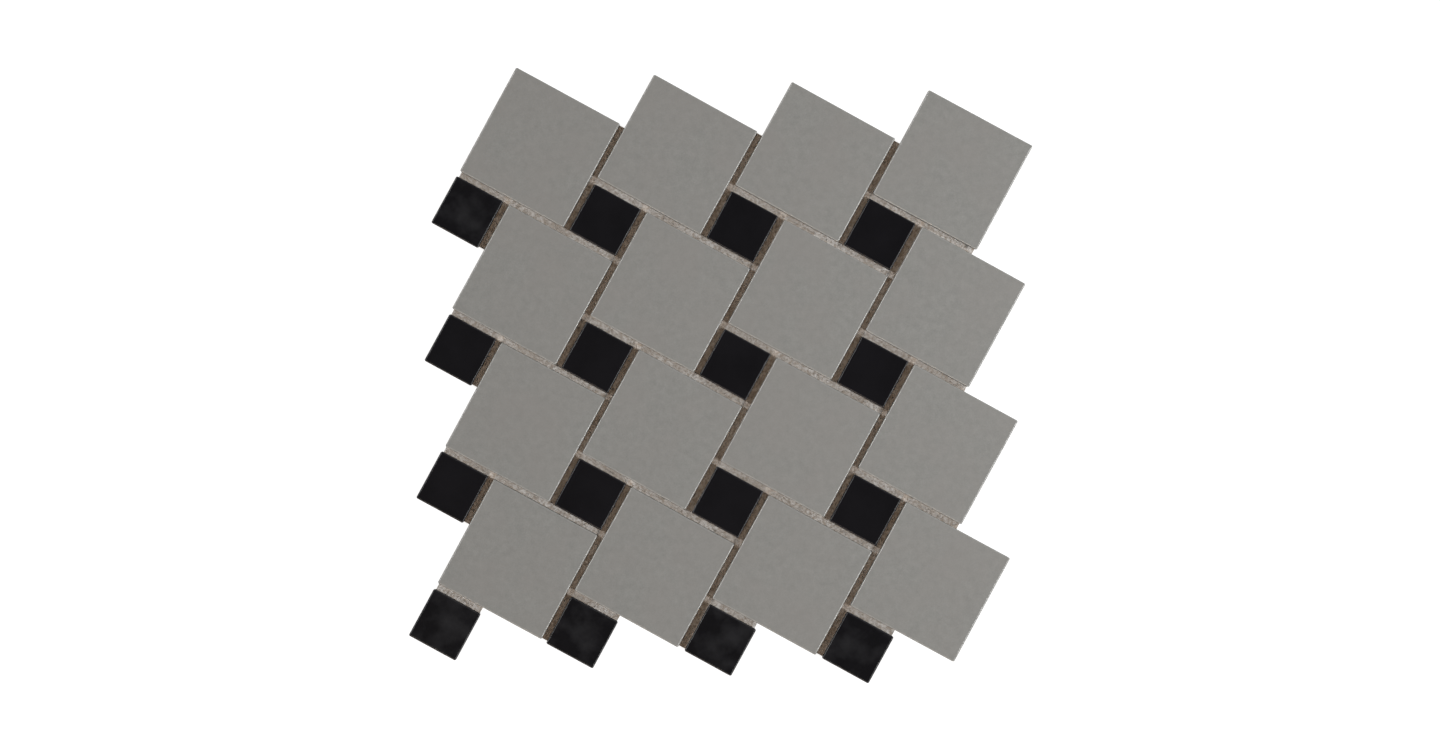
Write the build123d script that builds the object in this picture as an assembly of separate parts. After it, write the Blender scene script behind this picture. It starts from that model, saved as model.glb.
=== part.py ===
# Unglazed porcelain pinwheel mosaic sheet: gray square tiles and small black
# square dots, laid with open joints on one sheet of backing paper.
#
# Units are millimetres.  +X runs along the rows of tiles, +Y up the columns and
# +Z out of the tile faces.  The origin is the middle of the underside.

import math
import os
import random

from build123d import *

# Driving dimensions of the tiles
gray_side = 49.2            # face of a gray tile, 1 15/16 in
black_side = 22.2           # face of a black dot, 7/8 in
joint_width = 2.5           # open joint left between neighbouring tiles
tile_thickness = 6.35       # 1/4 in
corner_radius = 0.7         # upright corners
edge_width = 0.5            # narrow slope that eases the face into its walls, across the face
edge_drop = 0.3             # how far that slope falls
key_depth = 0.5             # grooves pressed into the back, which key it to its bed
key_width = 4.0
key_pitch = 8.0
key_draft = 30.0            # degrees the groove sides lean in
key_border = 5.0            # plain border left round the grooves

# Driving dimensions of the sheet
rows = 4
columns = 4
paper_thickness = 0.4
paper_inset = 0.7           # the paper is trimmed this far inside the outer tiles
lay_shift = 0.2             # furthest that a tile lies off its place, along X or Y
lay_turn = 0.3              # degrees, furthest that a tile is turned off the pattern
lay_seed = 7                # picks one set of such small errors

# The pattern.  A gray tile with its joint and a black dot with its joint fill the
# plane as a pinwheel: the pattern repeats along a square grid whose pitch is the
# hypotenuse of the two, and the tile edges are turned out of line with that grid.
gray_cell = gray_side + joint_width
black_cell = black_side + joint_width
pitch = math.hypot(gray_cell, black_cell)
turn = -math.degrees(math.atan2(black_cell, gray_cell))

# How far a turned square reaches from its centre along X or Y, sharp corners taken
turned_reach = (math.cos(math.radians(turn)) - math.sin(math.radians(turn))) / 2

# The first gray tile is placed so that the whole sheet is centred on the origin.
# A black dot lies half a pitch left of and below its gray tile, so the dots reach
# furthest left and down, and the gray tiles furthest right and up.
left_reach = pitch / 2 + black_side * turned_reach
right_reach = (columns - 1) * pitch + gray_side * turned_reach
up_reach = gray_side * turned_reach
down_reach = (rows - 1) * pitch + pitch / 2 + black_side * turned_reach
first_x = (left_reach - right_reach) / 2
first_y = (down_reach - up_reach) / 2


def gray_centre(row, column):
    """Centre of a gray tile, counted from the top left of the sheet."""
    return first_x + column * pitch, first_y - row * pitch


def black_centre(row, column):
    """Centre of the black dot that belongs to a gray tile, below and left of it."""
    x, y = gray_centre(row, column)
    return x - pitch / 2, y - pitch / 2


def every_place():
    """Each row and column of the sheet in turn."""
    for row in range(rows):
        for column in range(columns):
            yield row, column


def pressed_tile(side):
    """A pressed square tile standing on z = 0, with a keyed back and an eased face."""
    key_span = side - 2 * key_border
    key_count = int((key_span - key_width) / key_pitch) + 1
    with BuildPart() as tile:
        with BuildSketch(Plane.XY.offset(tile_thickness)):
            RectangleRounded(side, side, corner_radius)
        extrude(amount=-tile_thickness)
        face = tile.faces().sort_by(Axis.Z)[-1]
        chamfer(face.edges(), length=edge_width, length2=edge_drop, reference=face)
        with BuildSketch():
            with GridLocations(key_pitch, 0, key_count, 1):
                Rectangle(key_width, key_span)
        extrude(amount=key_depth, taper=key_draft, mode=Mode.SUBTRACT)
    return tile.part


def laid(tile, centre, chance):
    """The tile turned into the pattern and set on the paper, a little off its place."""
    x = centre[0] + chance.uniform(-lay_shift, lay_shift)
    y = centre[1] + chance.uniform(-lay_shift, lay_shift)
    tile_turn = turn + chance.uniform(-lay_turn, lay_turn)
    return Location((x, y, paper_thickness), (0, 0, tile_turn)) * tile


def paper_corners():
    """Corners of the paper, in the turned frame of the first gray tile.

    The outer edge of the tile cells is walked clockwise from its top left corner,
    and each corner is drawn in by the trim on both of the edges that meet there.
    """
    right, up, left, down = (1, 0), (0, 1), (-1, 0), (0, -1)
    walk = [(right, gray_cell), (up, black_cell)] * (columns - 1)
    walk += [(right, gray_cell)]
    walk += [(down, gray_cell), (right, black_cell)] * (rows - 1)
    walk += [(down, gray_cell), (left, gray_cell - black_cell), (down, black_cell)]
    walk += [(left, gray_cell), (down, black_cell)] * (columns - 1)
    walk += [(left, black_cell)]
    walk += [(up, gray_cell), (left, black_cell)] * (rows - 1)
    walk += [(up, gray_cell + black_cell)]
    trim = joint_width / 2 + paper_inset
    corners = []
    x, y = -gray_cell / 2, gray_cell / 2
    for (leg, length), (next_leg, _) in zip(walk, walk[1:] + walk[:1]):
        x += leg[0] * length
        y += leg[1] * length
        corners.append((x + trim * (leg[1] + next_leg[1]), y - trim * (leg[0] + next_leg[0])))
    return corners


def backing_paper():
    """One sheet of paper under every tile and joint, trimmed to the stepped edge."""
    with BuildPart() as paper:
        with BuildSketch():
            with Locations(Location((first_x, first_y, 0), (0, 0, turn))):
                Polygon(*paper_corners(), align=None)
        extrude(amount=paper_thickness)
    return paper.part


# Write one file for each piece
os.makedirs("parts", exist_ok=True)
chance = random.Random(lay_seed)
gray_tile = pressed_tile(gray_side)
black_dot = pressed_tile(black_side)
for row, column in every_place():
    place = f"r{row + 1}c{column + 1}"
    laid_gray = laid(gray_tile, gray_centre(row, column), chance)
    laid_black = laid(black_dot, black_centre(row, column), chance)
    export_step(laid_gray, f"parts/gray_tile_{place}.step")
    export_step(laid_black, f"parts/black_dot_{place}.step")
export_step(backing_paper(), "parts/paper_backing.step")
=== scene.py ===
"""Looks of a pinwheel mosaic sheet of unglazed porcelain, lying face up on a pale floor."""

import math

import bpy
import numpy as np
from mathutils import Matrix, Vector, noise
from mathutils.bvhtree import BVHTree
from mathutils.geometry import delaunay_2d_cdt


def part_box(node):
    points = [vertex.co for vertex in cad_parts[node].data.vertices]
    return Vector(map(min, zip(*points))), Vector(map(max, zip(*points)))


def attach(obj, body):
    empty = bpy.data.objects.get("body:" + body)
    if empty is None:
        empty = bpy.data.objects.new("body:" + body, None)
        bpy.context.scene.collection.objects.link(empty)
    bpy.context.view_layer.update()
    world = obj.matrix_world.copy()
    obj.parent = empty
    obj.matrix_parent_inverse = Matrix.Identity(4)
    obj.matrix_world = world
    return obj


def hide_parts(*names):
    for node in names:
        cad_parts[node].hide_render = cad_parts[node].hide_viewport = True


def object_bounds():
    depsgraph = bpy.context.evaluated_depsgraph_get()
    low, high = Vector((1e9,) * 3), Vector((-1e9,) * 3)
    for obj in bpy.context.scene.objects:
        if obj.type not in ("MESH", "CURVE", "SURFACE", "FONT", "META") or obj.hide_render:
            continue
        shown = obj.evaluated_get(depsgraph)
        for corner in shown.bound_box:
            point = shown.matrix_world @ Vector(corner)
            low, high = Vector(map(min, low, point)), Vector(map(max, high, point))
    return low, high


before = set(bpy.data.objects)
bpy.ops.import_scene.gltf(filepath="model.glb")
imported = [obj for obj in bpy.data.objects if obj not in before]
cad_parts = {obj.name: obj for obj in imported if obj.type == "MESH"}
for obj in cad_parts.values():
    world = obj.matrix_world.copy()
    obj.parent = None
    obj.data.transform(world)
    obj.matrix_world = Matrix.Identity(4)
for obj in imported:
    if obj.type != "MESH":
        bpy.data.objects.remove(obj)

cad_low, cad_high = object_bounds()

MM = 0.001
QUARTER = math.pi / 2
SQUARE = ((-1, -1), (1, -1), (1, 1), (-1, 1))
CORNERS = len(SQUARE)
FILL_INSIDE = 1                     # a flat fill keeps only what lies inside its outlines

# The photograph's frame, in pixels
image_width = 1440
image_middle = (720.0, 375.0)
sheet_middle = (721.6, 376.8)       # where the middle of the sheet lies in the picture
pixels_per_mm = 2.404               # at the tile faces
sheet_roll = 3.15                   # degrees, how far the rows drop towards the right

# Shape of the fired tiles
corner_radius = 0.7 * MM            # upright corners
edge_width = 0.6 * MM               # eased edge round the face, seen from above
edge_drop = 0.3 * MM                # how far the face falls over that width
key_depth = 0.5 * MM                # grooves in the back
key_width = 4.0 * MM
key_pitch = 8.0 * MM
key_draft = 30.0                    # degrees the groove sides lean in
key_border = 5.0 * MM               # plain border left round the grooves
wall_waver = 0.05 * MM              # how far a wall strays inwards
face_dip = 0.03 * MM                # how far a face dips
nick_depth = 0.10 * MM              # scale of the nicks in an eased edge
nick_from = 0.15                    # only noise above this makes a nick
noise_spread = 50                   # sets the tiles apart in the noise, so that no two are alike

# Fineness of that unevenness, in cycles a metre
waver_scale = 90
dip_scale = 40
nick_scale = 520

# Fineness of the tile meshes
corner_steps = 6
ease_steps = 8
wall_steps = 5
edge_step = 0.45 * MM               # length of one mesh face along an edge
face_shares = (0.985, 0.96, 0.92, 0.84, 0.72, 0.56, 0.38, 0.2)   # rings across the face
same_spot = 0.0001 * MM             # corners nearer than this count as one
upright_limit = 0.1                 # a face whose normal rises less than this is a wall

# Shape of the loose fibres on the backing paper
fibre_tries = 130000                # fibres strewn over the sheet, of which those in the joints are kept
fibre_length = (0.7 * MM, 2.4 * MM)
fibre_radius = (0.035 * MM, 0.075 * MM)
fibre_taper = 0.5                   # share of the radius left at both ends
fibre_crown = 1.6                   # height of a fibre as a share of its half width
fibre_bend = 0.25                   # how far a fibre bows aside, as a share of its half length
fibre_rise = 0.28 * MM              # highest that a fibre lies above the paper
fibre_lie = 2                       # power that keeps most of the fibres low
fibre_gap = 0.12 * MM               # room left between a fibre and a tile
fibre_seed = 11                     # picks where the fibres lie
strand_seed = 12                    # picks how thick and how pale they are
strand_sides = 3

# Fineness of the grain in the materials, in cycles a metre
mottle_scale = 330
speckle_scale = 1700
patch_scale = 900
pit_scale = 2600
felt_scale = 900
blot_scale = 60
smudge_scale = 210

# Relief of the materials
pit_depth = 0.03 * MM
felt_depth = 0.1 * MM
relief_strength = 0.5

# Wear and clouding of the porcelain
full_wear = 0.7                     # wear at which an edge has all of its own shine
cloud_span = 0.3                    # range of noise over which a cloud fades in

# Colours of the paper
paper_brown = (0.340, 0.288, 0.241, 1)
paper_pale = (0.615, 0.588, 0.560, 1)
fibre_brown = (0.320, 0.264, 0.213, 1)
fibre_pale = (0.640, 0.616, 0.588, 1)
smudge_dark = (0.12, 0.11, 0.095, 1)


# Places of the tiles

def node_names(kind):
    """The CAD nodes of one kind of piece, in order."""
    return sorted(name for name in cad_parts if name.startswith(kind))


def tile_place(node):
    """Foot centre, turn, side and thickness of a tile, read from its CAD node."""
    low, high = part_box(node)
    centre = (low + high) / 2
    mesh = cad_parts[node].data
    walls = [face for face in mesh.polygons if abs(face.normal.z) < upright_limit]
    wall = max(walls, key=lambda face: face.area)
    outward = Vector((wall.normal.x, wall.normal.y, 0)).normalized()
    half_side = max((vertex.co - centre).dot(outward) for vertex in mesh.vertices)
    turn = math.atan2(outward.y, outward.x)
    turn = (turn + QUARTER / 2) % QUARTER - QUARTER / 2
    return Vector((centre.x, centre.y, low.z)), turn, 2 * half_side, high.z - low.z


# Shapes of the tiles

def rounded_square(half, radius, side_steps):
    """Points round a square with rounded corners, anticlockwise."""
    flat = half - radius
    along = np.linspace(-flat, flat, side_steps + 1)
    side = np.column_stack([np.full_like(along, half), along])
    angles = np.linspace(0, QUARTER, corner_steps + 1)[1:-1]
    corner = flat + radius * np.column_stack([np.cos(angles), np.sin(angles)])
    quarters = [np.vstack([side, corner])]
    for _ in range(CORNERS - 1):
        last = quarters[-1]
        quarters.append(np.column_stack([-last[:, 1], last[:, 0]]))
    return np.vstack(quarters)


def tile_rings(side, thickness):
    """Rings of points up the wall, over the eased edge and in across the face, and their edge share, for
    worn gloss and a painted highlight.
    """
    side_steps = round(side / edge_step)
    levels = [(0, height, 0) for height in np.linspace(0, thickness - edge_drop, wall_steps + 1)]
    for angle in np.linspace(0, QUARTER, ease_steps + 1)[1:]:
        inset = edge_width * (1 - math.cos(angle))
        height = thickness - edge_drop * (1 - math.sin(angle))
        levels.append((inset, height, math.sin(2 * angle)))
    rings = []
    wear_and_highlight = []
    for inset, height, worn in levels:
        outline = rounded_square(side / 2 - inset, corner_radius - inset, side_steps)
        rings.append(np.column_stack([outline, np.full(len(outline), height)]))
        wear_and_highlight.append(np.full(len(outline), worn))
    for share in face_shares:
        rings.append(rings[len(levels) - 1] * (share, share, 1))
        wear_and_highlight.append(np.zeros(len(outline)))
    return np.array(rings), np.array(wear_and_highlight)


def noise_share(place, scale, offset):
    """Smooth noise at a place, from 0 to 1."""
    return 0.5 + 0.5 * noise.noise(place * scale + offset)


def fired(points, wear_and_highlight, side, thickness, offset):
    """The small unevenness of a pressed and fired tile, always inwards from its true form."""
    uneven = points.copy()
    for n, point in enumerate(points):
        place = Vector(point)
        waver = wall_waver * noise_share(place, waver_scale, offset)
        nick = max(0, noise.noise(place * nick_scale + offset) - nick_from) * nick_depth * wear_and_highlight[n]
        uneven[n, :2] *= 1 - (waver + nick) / (side / 2)
        if point[2] > thickness - edge_drop / 2:
            uneven[n, 2] -= face_dip * noise_share(place, dip_scale, offset) + nick
    return uneven


def key_grooves(side):
    """Corners of each groove in a tile's back: four round its mouth, then four round its floor."""
    span = side - 2 * key_border
    count = int((span - key_width) / key_pitch) + 1
    lean = key_depth * math.tan(math.radians(key_draft))
    corners = []
    for n in range(count):
        middle = (n - (count - 1) / 2) * key_pitch
        for inset, height in ((0, 0), (lean, key_depth)):
            for x, y in SQUARE:
                corners.append((middle + x * (key_width / 2 - inset), y * (span / 2 - inset), height))
    return np.array(corners)


def ring_faces(count, around):
    """Faces that join rings of points, with the last ring drawn to the middle point after it."""
    faces = []
    for ring in range(count - 1):
        here = ring * around
        above = here + around
        for n in range(around):
            after = (n + 1) % around
            faces.append((here + n, here + after, above + after, above + n))
    last = (count - 1) * around
    middle = count * around
    for n in range(around):
        faces.append((last + n, last + (n + 1) % around, middle))
    return faces


def foot_faces(points, outline, mouths):
    """Faces of a tile's flat foot, between its outline and the mouths of the grooves."""
    loops = [outline] + mouths
    corners = [n for loop in loops for n in loop]
    order = {n: place for place, n in enumerate(corners)}
    ordered_loops = [[order[n] for n in loop] for loop in loops]
    spots = [Vector(points[n, :2]) for n in corners]
    filled = delaunay_2d_cdt(spots, [], ordered_loops, FILL_INSIDE, same_spot)
    triangles = filled[2]
    sources = filled[3]
    faces = []
    for triangle in triangles:
        a, b, c = (corners[sources[n][0]] for n in triangle)
        if any(a in mouth and b in mouth and c in mouth for mouth in mouths):
            continue
        area = np.cross(points[b, :2] - points[a, :2], points[c, :2] - points[a, :2])
        faces.append((a, b, c) if area < 0 else (a, c, b))
    return faces


def groove_faces(mouths):
    """Sides and floors of the grooves, where a floor's corners follow those of its mouth."""
    faces = []
    for mouth in mouths:
        for n in range(CORNERS):
            here = mouth[n]
            after = mouth[(n + 1) % CORNERS]
            faces.append((here, here + CORNERS, after + CORNERS, after))
        faces.append(tuple(n + CORNERS for n in reversed(mouth)))
    return faces


def tile_piece(node, material):
    """The fired tile that stands for a CAD node."""
    foot, turn, side, thickness = tile_place(node)
    rings, wear_and_highlight = tile_rings(side, thickness)
    count, around = wear_and_highlight.shape
    points = np.vstack([rings.reshape(-1, 3), (0, 0, thickness)])
    wear_and_highlight = np.append(wear_and_highlight.ravel(), 0)
    points = fired(points, wear_and_highlight, side, thickness, foot * noise_spread)
    first_groove = len(points)
    points = np.vstack([points, key_grooves(side)])
    wear_and_highlight = np.append(wear_and_highlight, np.zeros(len(points) - first_groove))
    mouths = [range(first, first + CORNERS) for first in range(first_groove, len(points), 2 * CORNERS)]
    outside = ring_faces(count, around)
    back = foot_faces(points, range(around), mouths) + groove_faces(mouths)
    ahead = np.array((math.cos(turn), math.sin(turn)))
    aside = np.array((-math.sin(turn), math.cos(turn)))
    points[:, :2] = points[:, :1] * ahead + points[:, 1:2] * aside
    points += np.array(foot)
    mesh = bpy.data.meshes.new(node + "_fired")
    mesh.from_pydata(points.tolist(), [], outside + back)
    mesh.polygons.foreach_set("use_smooth", [True] * len(outside) + [False] * len(back))
    mesh.attributes.new("wear_and_highlight", "FLOAT", "POINT").data.foreach_set("value", wear_and_highlight)
    mesh.materials.append(material)
    piece = bpy.data.objects.new(node + "_fired", mesh)
    bpy.context.scene.collection.objects.link(piece)
    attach(piece, "root")
    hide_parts(node)


# Fibres of the backing paper

def clear_of_tiles(spots, places):
    """Which spots lie in a joint, clear of every tile."""
    clear = np.ones(len(spots), bool)
    for foot, turn, side, _ in places:
        away = spots[:, :2] - np.array(foot)[:2]
        ahead = away @ np.array((math.cos(turn), math.sin(turn)))
        aside = away @ np.array((-math.sin(turn), math.cos(turn)))
        clear &= np.maximum(abs(ahead), abs(aside)) > side / 2 + fibre_gap
    return clear


def on_paper(spots, paper):
    """Which spots have the paper under them."""
    corners = [vertex.co for vertex in paper.data.vertices]
    tree = BVHTree.FromPolygons(corners, [tuple(face.vertices) for face in paper.data.polygons])
    down = Vector((0, 0, -1))
    return np.array([tree.ray_cast(Vector(spot) - down, down)[0] is not None for spot in spots])


def fibre_lines(paper, places):
    """Start, middle and end of each loose fibre, lying on the paper in the joints."""
    chance = np.random.default_rng(fibre_seed)
    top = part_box("paper_backing")[1].z
    middle = chance.uniform((cad_low.x, cad_low.y, 0), (cad_high.x, cad_high.y, 0), (fibre_tries, 3))
    heading = chance.uniform(0, 2 * math.pi, fibre_tries)
    half = chance.uniform(*fibre_length, fibre_tries)[:, None] / 2
    ahead = np.column_stack([np.cos(heading), np.sin(heading), np.zeros(fibre_tries)])
    start = middle - ahead * half
    end = middle + ahead * half
    bend = chance.uniform(-fibre_bend, fibre_bend, fibre_tries)[:, None] * half
    middle = middle + bend * np.column_stack([-ahead[:, 1], ahead[:, 0], ahead[:, 2]])
    for line in (start, middle, end):
        line[:, 2] = top + fibre_rise * chance.uniform(0, 1, fibre_tries) ** fibre_lie
    lines = np.stack([start, middle, end], axis=1)
    stations = lines.shape[1]
    for station in range(stations):
        lines = lines[clear_of_tiles(lines[:, station], places)]
    for station in range(stations):
        lines = lines[on_paper(lines[:, station], paper)]
    return lines


def strand_faces():
    """Faces of one fibre: a cap at its start, one at its end, and the sides between its stations."""
    last = 2 * strand_sides
    faces = [(0, 1, 2), (last, last + 2, last + 1)]
    for here in (0, strand_sides):
        there = here + strand_sides
        for side in range(strand_sides):
            after = (side + 1) % strand_sides
            faces.append((here + side, there + side, there + after, here + after))
    return faces


def fibre_piece(paper, places, material):
    """All the loose fibres as one mesh of thin three-sided strands."""
    chance = np.random.default_rng(strand_seed)
    lines = fibre_lines(paper, places)
    radius = chance.uniform(*fibre_radius, len(lines))[:, None]
    run = lines[:, 2] - lines[:, 0]
    run[:, 2] = 0
    run /= np.linalg.norm(run, axis=1)[:, None]
    aside = np.column_stack([-run[:, 1], run[:, 0], run[:, 2]]) * radius
    upward = np.array((0, 0, fibre_crown)) * radius
    corners = []
    for station, taper in enumerate((fibre_taper, 1, fibre_taper)):
        for offset in (aside, -aside, upward):
            corners.append(lines[:, station] + offset * taper)
    points = np.stack(corners, axis=1).reshape(-1, 3)
    each = len(corners)
    strand = strand_faces()
    faces = [tuple(each * n + corner for corner in face) for n in range(len(lines)) for face in strand]
    mesh = bpy.data.meshes.new("paper_fibres")
    mesh.from_pydata(points.tolist(), [], faces)
    tone = np.repeat(chance.uniform(0, 1, len(lines)), each)
    mesh.attributes.new("tone", "FLOAT", "POINT").data.foreach_set("value", tone)
    mesh.materials.append(material)
    piece = bpy.data.objects.new("paper_fibres", mesh)
    bpy.context.scene.collection.objects.link(piece)
    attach(piece, "root")


# Materials

class Nodes:
    """A short way to write a material's node tree."""

    def __init__(self, name):
        self.material = bpy.data.materials.new(name)
        self.material.use_nodes = True
        self.tree = self.material.node_tree
        self.shader = self.tree.nodes["Principled BSDF"]

    def add(self, kind, inputs=None, **settings):
        """A new node, with its inputs linked or set."""
        node = self.tree.nodes.new("ShaderNode" + kind)
        for key, value in settings.items():
            setattr(node, key, value)
        for key, value in (inputs or {}).items():
            self.feed(node.inputs[key], value)
        return node

    def feed(self, socket, value):
        """Link a socket to another one, or set its value."""
        if isinstance(value, bpy.types.NodeSocket):
            self.tree.links.new(value, socket)
        else:
            socket.default_value = value

    def finish(self, **inputs):
        """Set the shader's own inputs, named with underscores for spaces."""
        for key, value in inputs.items():
            self.feed(self.shader.inputs[key.replace("_", " ")], value)
        return self.material

    def place(self):
        """Coordinates in the object's own frame, in metres."""
        return self.add("TexCoord").outputs["Object"]

    def attribute(self, name):
        """A value carried by the mesh."""
        return self.add("Attribute", attribute_name=name).outputs["Fac"]

    def grain(self, place, scale, detail=3.0, roughness=0.55):
        """Noise of a given fineness, in cycles a metre."""
        inputs = {"Vector": place, "Scale": scale, "Detail": detail, "Roughness": roughness}
        return self.add("TexNoise", inputs).outputs["Fac"]

    def level(self, value, low, high, to_low=0.0, to_high=1.0):
        """A value moved from one range to another, and kept inside it."""
        inputs = {"Value": value, "From Min": low, "From Max": high, "To Min": to_low, "To Max": to_high}
        return self.add("MapRange", inputs).outputs["Result"]

    def times(self, first, second):
        """One value times another."""
        return self.add("Math", {0: first, 1: second}, operation="MULTIPLY").outputs[0]

    def plus(self, first, second):
        """One value added to another."""
        return self.add("Math", {0: first, 1: second}, operation="ADD").outputs[0]

    def blend(self, share, first, second):
        """A colour between two others."""
        node = self.add("MixRGB", {"Fac": share, "Color1": first, "Color2": second})
        return node.outputs["Color"]

    def bump(self, height, depth):
        """Fine relief of a given depth, in metres."""
        inputs = {"Height": height, "Distance": depth, "Strength": relief_strength}
        return self.add("Bump", inputs).outputs["Normal"]


def porcelain(name, dark, light, cloudy, clouding, cloud_from, cloud_scale, edge, roughness, edge_roughness,
              specular, edge_specular):
    """Unglazed porcelain: matt body, faint clouding, fine grain, glossier worn edges painted paler as a
    highlight.
    """
    nodes = Nodes(name)
    place = nodes.place()
    mottle = nodes.level(nodes.grain(place, mottle_scale), low=0.3, high=0.7, to_high=0.4)
    fine_grain = nodes.grain(place, speckle_scale, detail=4.0, roughness=0.7)
    speckle = nodes.level(fine_grain, low=0.3, high=0.7, to_high=0.6)
    body = nodes.blend(nodes.plus(mottle, speckle), dark, light)
    cloud_grain = nodes.grain(place, cloud_scale)
    cloud = nodes.level(cloud_grain, low=cloud_from, high=cloud_from + cloud_span, to_high=clouding)
    body = nodes.blend(cloud, body, cloudy)
    wear_and_highlight = nodes.attribute("wear_and_highlight")
    patches = nodes.level(nodes.grain(place, patch_scale, detail=2.0), low=0.3, high=0.6, to_low=0.35)
    # The pale edge colour, laid on in patches round the eased edges, is a painted highlight.
    painted_edge_highlight = nodes.times(nodes.level(wear_and_highlight, low=0.1, high=0.9), patches)
    colour = nodes.blend(painted_edge_highlight, body, edge)
    gloss = nodes.level(wear_and_highlight, low=0, high=full_wear, to_low=roughness, to_high=edge_roughness)
    shine = nodes.level(wear_and_highlight, low=0, high=full_wear, to_low=specular, to_high=edge_specular)
    normal = nodes.bump(nodes.grain(place, pit_scale, detail=2.0), pit_depth)
    return nodes.finish(Base_Color=colour, Roughness=gloss, Specular_IOR_Level=shine, Normal=normal)


def smudged(nodes, place, colour):
    """A paper colour with a few dark smudges on it."""
    smudge = nodes.level(nodes.grain(place, smudge_scale, detail=2.0), low=0.655, high=0.735, to_high=0.75)
    return nodes.blend(smudge, colour, smudge_dark)


def paper_look(name):
    """Backing paper: a brown ground clouded with paler felted fibre."""
    nodes = Nodes(name)
    place = nodes.place()
    felt = nodes.level(nodes.grain(place, felt_scale, detail=4.0, roughness=0.65), low=0.40, high=0.60)
    blots = nodes.level(nodes.grain(place, blot_scale, detail=2.0), low=0.4, high=0.7, to_low=1, to_high=0.4)
    colour = nodes.blend(nodes.times(felt, blots), paper_brown, paper_pale)
    colour = smudged(nodes, place, colour)
    normal = nodes.bump(felt, felt_depth)
    return nodes.finish(Base_Color=colour, Roughness=0.95, Specular_IOR_Level=0.2, Normal=normal)


def fibre_look(name):
    """Single paper fibres, most of them pale and some brown."""
    nodes = Nodes(name)
    tone = nodes.level(nodes.attribute("tone"), low=0.15, high=0.6)
    colour = nodes.blend(tone, fibre_brown, fibre_pale)
    colour = smudged(nodes, nodes.place(), colour)
    return nodes.finish(Base_Color=colour, Roughness=0.9, Specular_IOR_Level=0.2)


# The tiles
faint_clouds = {"clouding": 0.5, "cloud_from": 0.35, "cloud_scale": 55}
# A lighter clouding for some black dots, painted to stand for the sheen and glare that light puts on them.
painted_sheen_clouds = {"clouding": 0.95, "cloud_from": 0.43, "cloud_scale": 95}
gray_shine = {"roughness": 0.62, "edge_roughness": 0.24, "specular": 0.38, "edge_specular": 0.38}
black_shine = {"roughness": 0.30, "edge_roughness": 0.36, "specular": 0.06, "edge_specular": 0.30}
# Every edge colour is paler than its body: a painted highlight on the eased edges.
gray = porcelain("gray_porcelain", dark=(0.172, 0.177, 0.171, 1), light=(0.240, 0.244, 0.237, 1),
                 cloudy=(0.2135, 0.209, 0.202, 1), edge=(0.300, 0.303, 0.294, 1),
                 **faint_clouds, **gray_shine)
black = porcelain("black_porcelain", dark=(0.0033, 0.0032, 0.0042, 1), light=(0.0048, 0.0046, 0.0061, 1),
                  cloudy=(0.0077, 0.0074, 0.0094, 1), edge=(0.021, 0.021, 0.024, 1),
                  **faint_clouds, **black_shine)
# Black porcelain with that painted sheen.
painted_sheen_black = porcelain("painted_sheen_black_porcelain", dark=(0.0031, 0.0030, 0.0039, 1),
                        light=(0.0051, 0.0050, 0.0065, 1), cloudy=(0.0176, 0.0178, 0.0201, 1),
                        edge=(0.023, 0.023, 0.026, 1), **painted_sheen_clouds, **black_shine)
# The dots of the bottom row and the first row's first dot get the painted sheen.
painted_sheen_dots = ("black_dot_r1c1", "black_dot_r4c1", "black_dot_r4c2", "black_dot_r4c3", "black_dot_r4c4")
for gray_node in node_names("gray_tile"):
    tile_piece(gray_node, gray)
for black_node in node_names("black_dot"):
    tile_piece(black_node, painted_sheen_black if black_node in painted_sheen_dots else black)

# The backing paper and its fibres
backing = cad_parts["paper_backing"]
backing.data.materials.clear()
backing.data.materials.append(paper_look("backing_paper"))
tile_places = [tile_place(node) for node in node_names("gray_tile") + node_names("black_dot")]
fibre_piece(backing, tile_places, fibre_look("paper_fibres"))

# The floor, which glows enough to show as white
floor_reach = 6.0
floor_height = -0.3 * MM
floor_corners = [(x * floor_reach, y * floor_reach, floor_height) for x, y in SQUARE]
floor_look = Nodes("floor").finish(Base_Color=(0.3, 0.3, 0.3, 1), Roughness=0.9,
                                   Emission_Color=(1, 1, 1, 1), Emission_Strength=0.88)
floor_mesh = bpy.data.meshes.new("floor")
floor_mesh.from_pydata(floor_corners, [], [(0, 1, 2, 3)])
floor_mesh.materials.append(floor_look)
floor = bpy.data.objects.new("floor", floor_mesh)
bpy.context.scene.collection.objects.link(floor)


# Soft light: two strong lamps along the tile edges, a near one at the right and a warm one at the bottom

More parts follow.
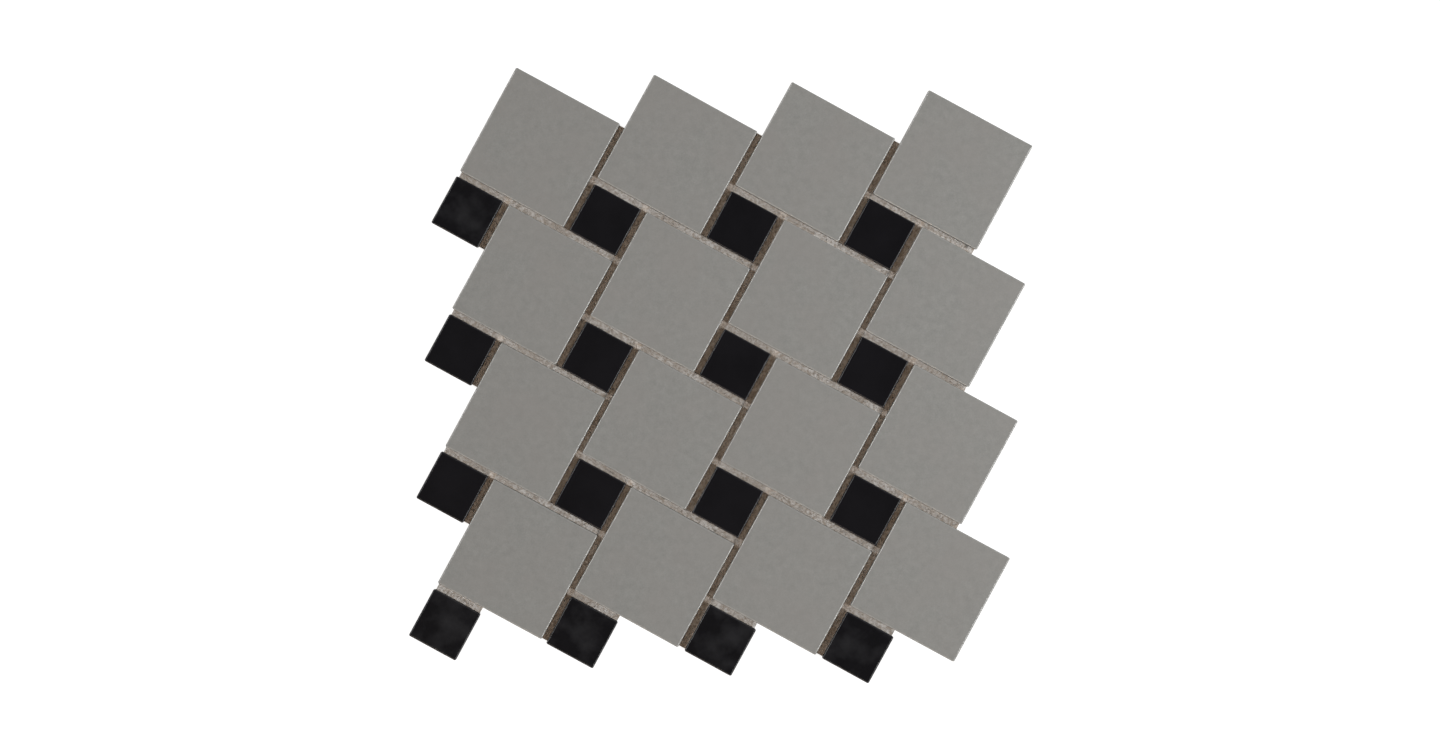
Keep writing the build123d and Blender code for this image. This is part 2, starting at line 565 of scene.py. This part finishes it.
def lamp(name, heading, rise, distance, spread, share, colour):
    """A round soft lamp. Its share is the part of the light on a flat face that comes from it."""
    rise = math.radians(rise)
    level_reach = math.cos(rise)
    towards = Vector((math.cos(heading) * level_reach, math.sin(heading) * level_reach, math.sin(rise)))
    light = bpy.data.lights.new(name, "AREA")
    light.shape = "DISK"
    light.size = spread * distance
    light.color = colour
    light.energy = share * (math.pi * distance) ** 2 / math.sin(rise)
    holder = bpy.data.objects.new(name, light)
    holder.location = towards * distance
    holder.rotation_euler = towards.to_track_quat("Z", "Y").to_euler()
    holder.visible_camera = False
    bpy.context.scene.collection.objects.link(holder)


edge_turn = tile_place("gray_tile_r1c1")[1]
swing = math.radians(0.5)           # how far the two strong lamps stand towards the top of the sheet
near_swing = math.radians(32)       # how far the near lamp does
white = (1, 1, 1)
warm_white = (1, 0.80, 0.63)
lamp("lamp_right", heading=edge_turn + swing, rise=62, distance=10.0, spread=0.12, share=0.35, colour=white)
lamp("lamp_left", heading=edge_turn + math.pi - swing, rise=66, distance=10.0, spread=0.12, share=0.31,
     colour=white)
lamp("lamp_near_right", heading=edge_turn + near_swing, rise=42, distance=0.50, spread=0.20, share=0.15,
     colour=white)
lamp("lamp_bottom", heading=edge_turn - QUARTER, rise=66, distance=4.0, spread=0.20, share=0.20,
     colour=warm_white)

# The room's faint light
room_light = 0.06
world = bpy.data.worlds.new("room")
bpy.context.scene.world = world
world.use_nodes = True
background = world.node_tree.nodes["Background"]
background.inputs["Color"].default_value = (1, 1, 1, 1)
background.inputs["Strength"].default_value = room_light
bpy.context.scene.view_settings.view_transform = "Standard"

# The camera looks straight down, as in the photograph
camera = bpy.data.cameras.new("camera")
camera.lens = 200
camera.sensor_width = 36
camera_distance = image_width / pixels_per_mm * MM * camera.lens / camera.sensor_width
roll = math.radians(sheet_roll)
right = Vector((math.cos(roll), math.sin(roll), 0))
up = Vector((-math.sin(roll), math.cos(roll), 0))
off_right = (image_middle[0] - sheet_middle[0]) / pixels_per_mm * MM
off_up = (sheet_middle[1] - image_middle[1]) / pixels_per_mm * MM
eye = bpy.data.objects.new("camera", camera)
eye.location = right * off_right + up * off_up + Vector((0, 0, cad_high.z + camera_distance))
eye.rotation_euler = (0, 0, roll)
bpy.context.scene.collection.objects.link(eye)
bpy.context.scene.camera = eye
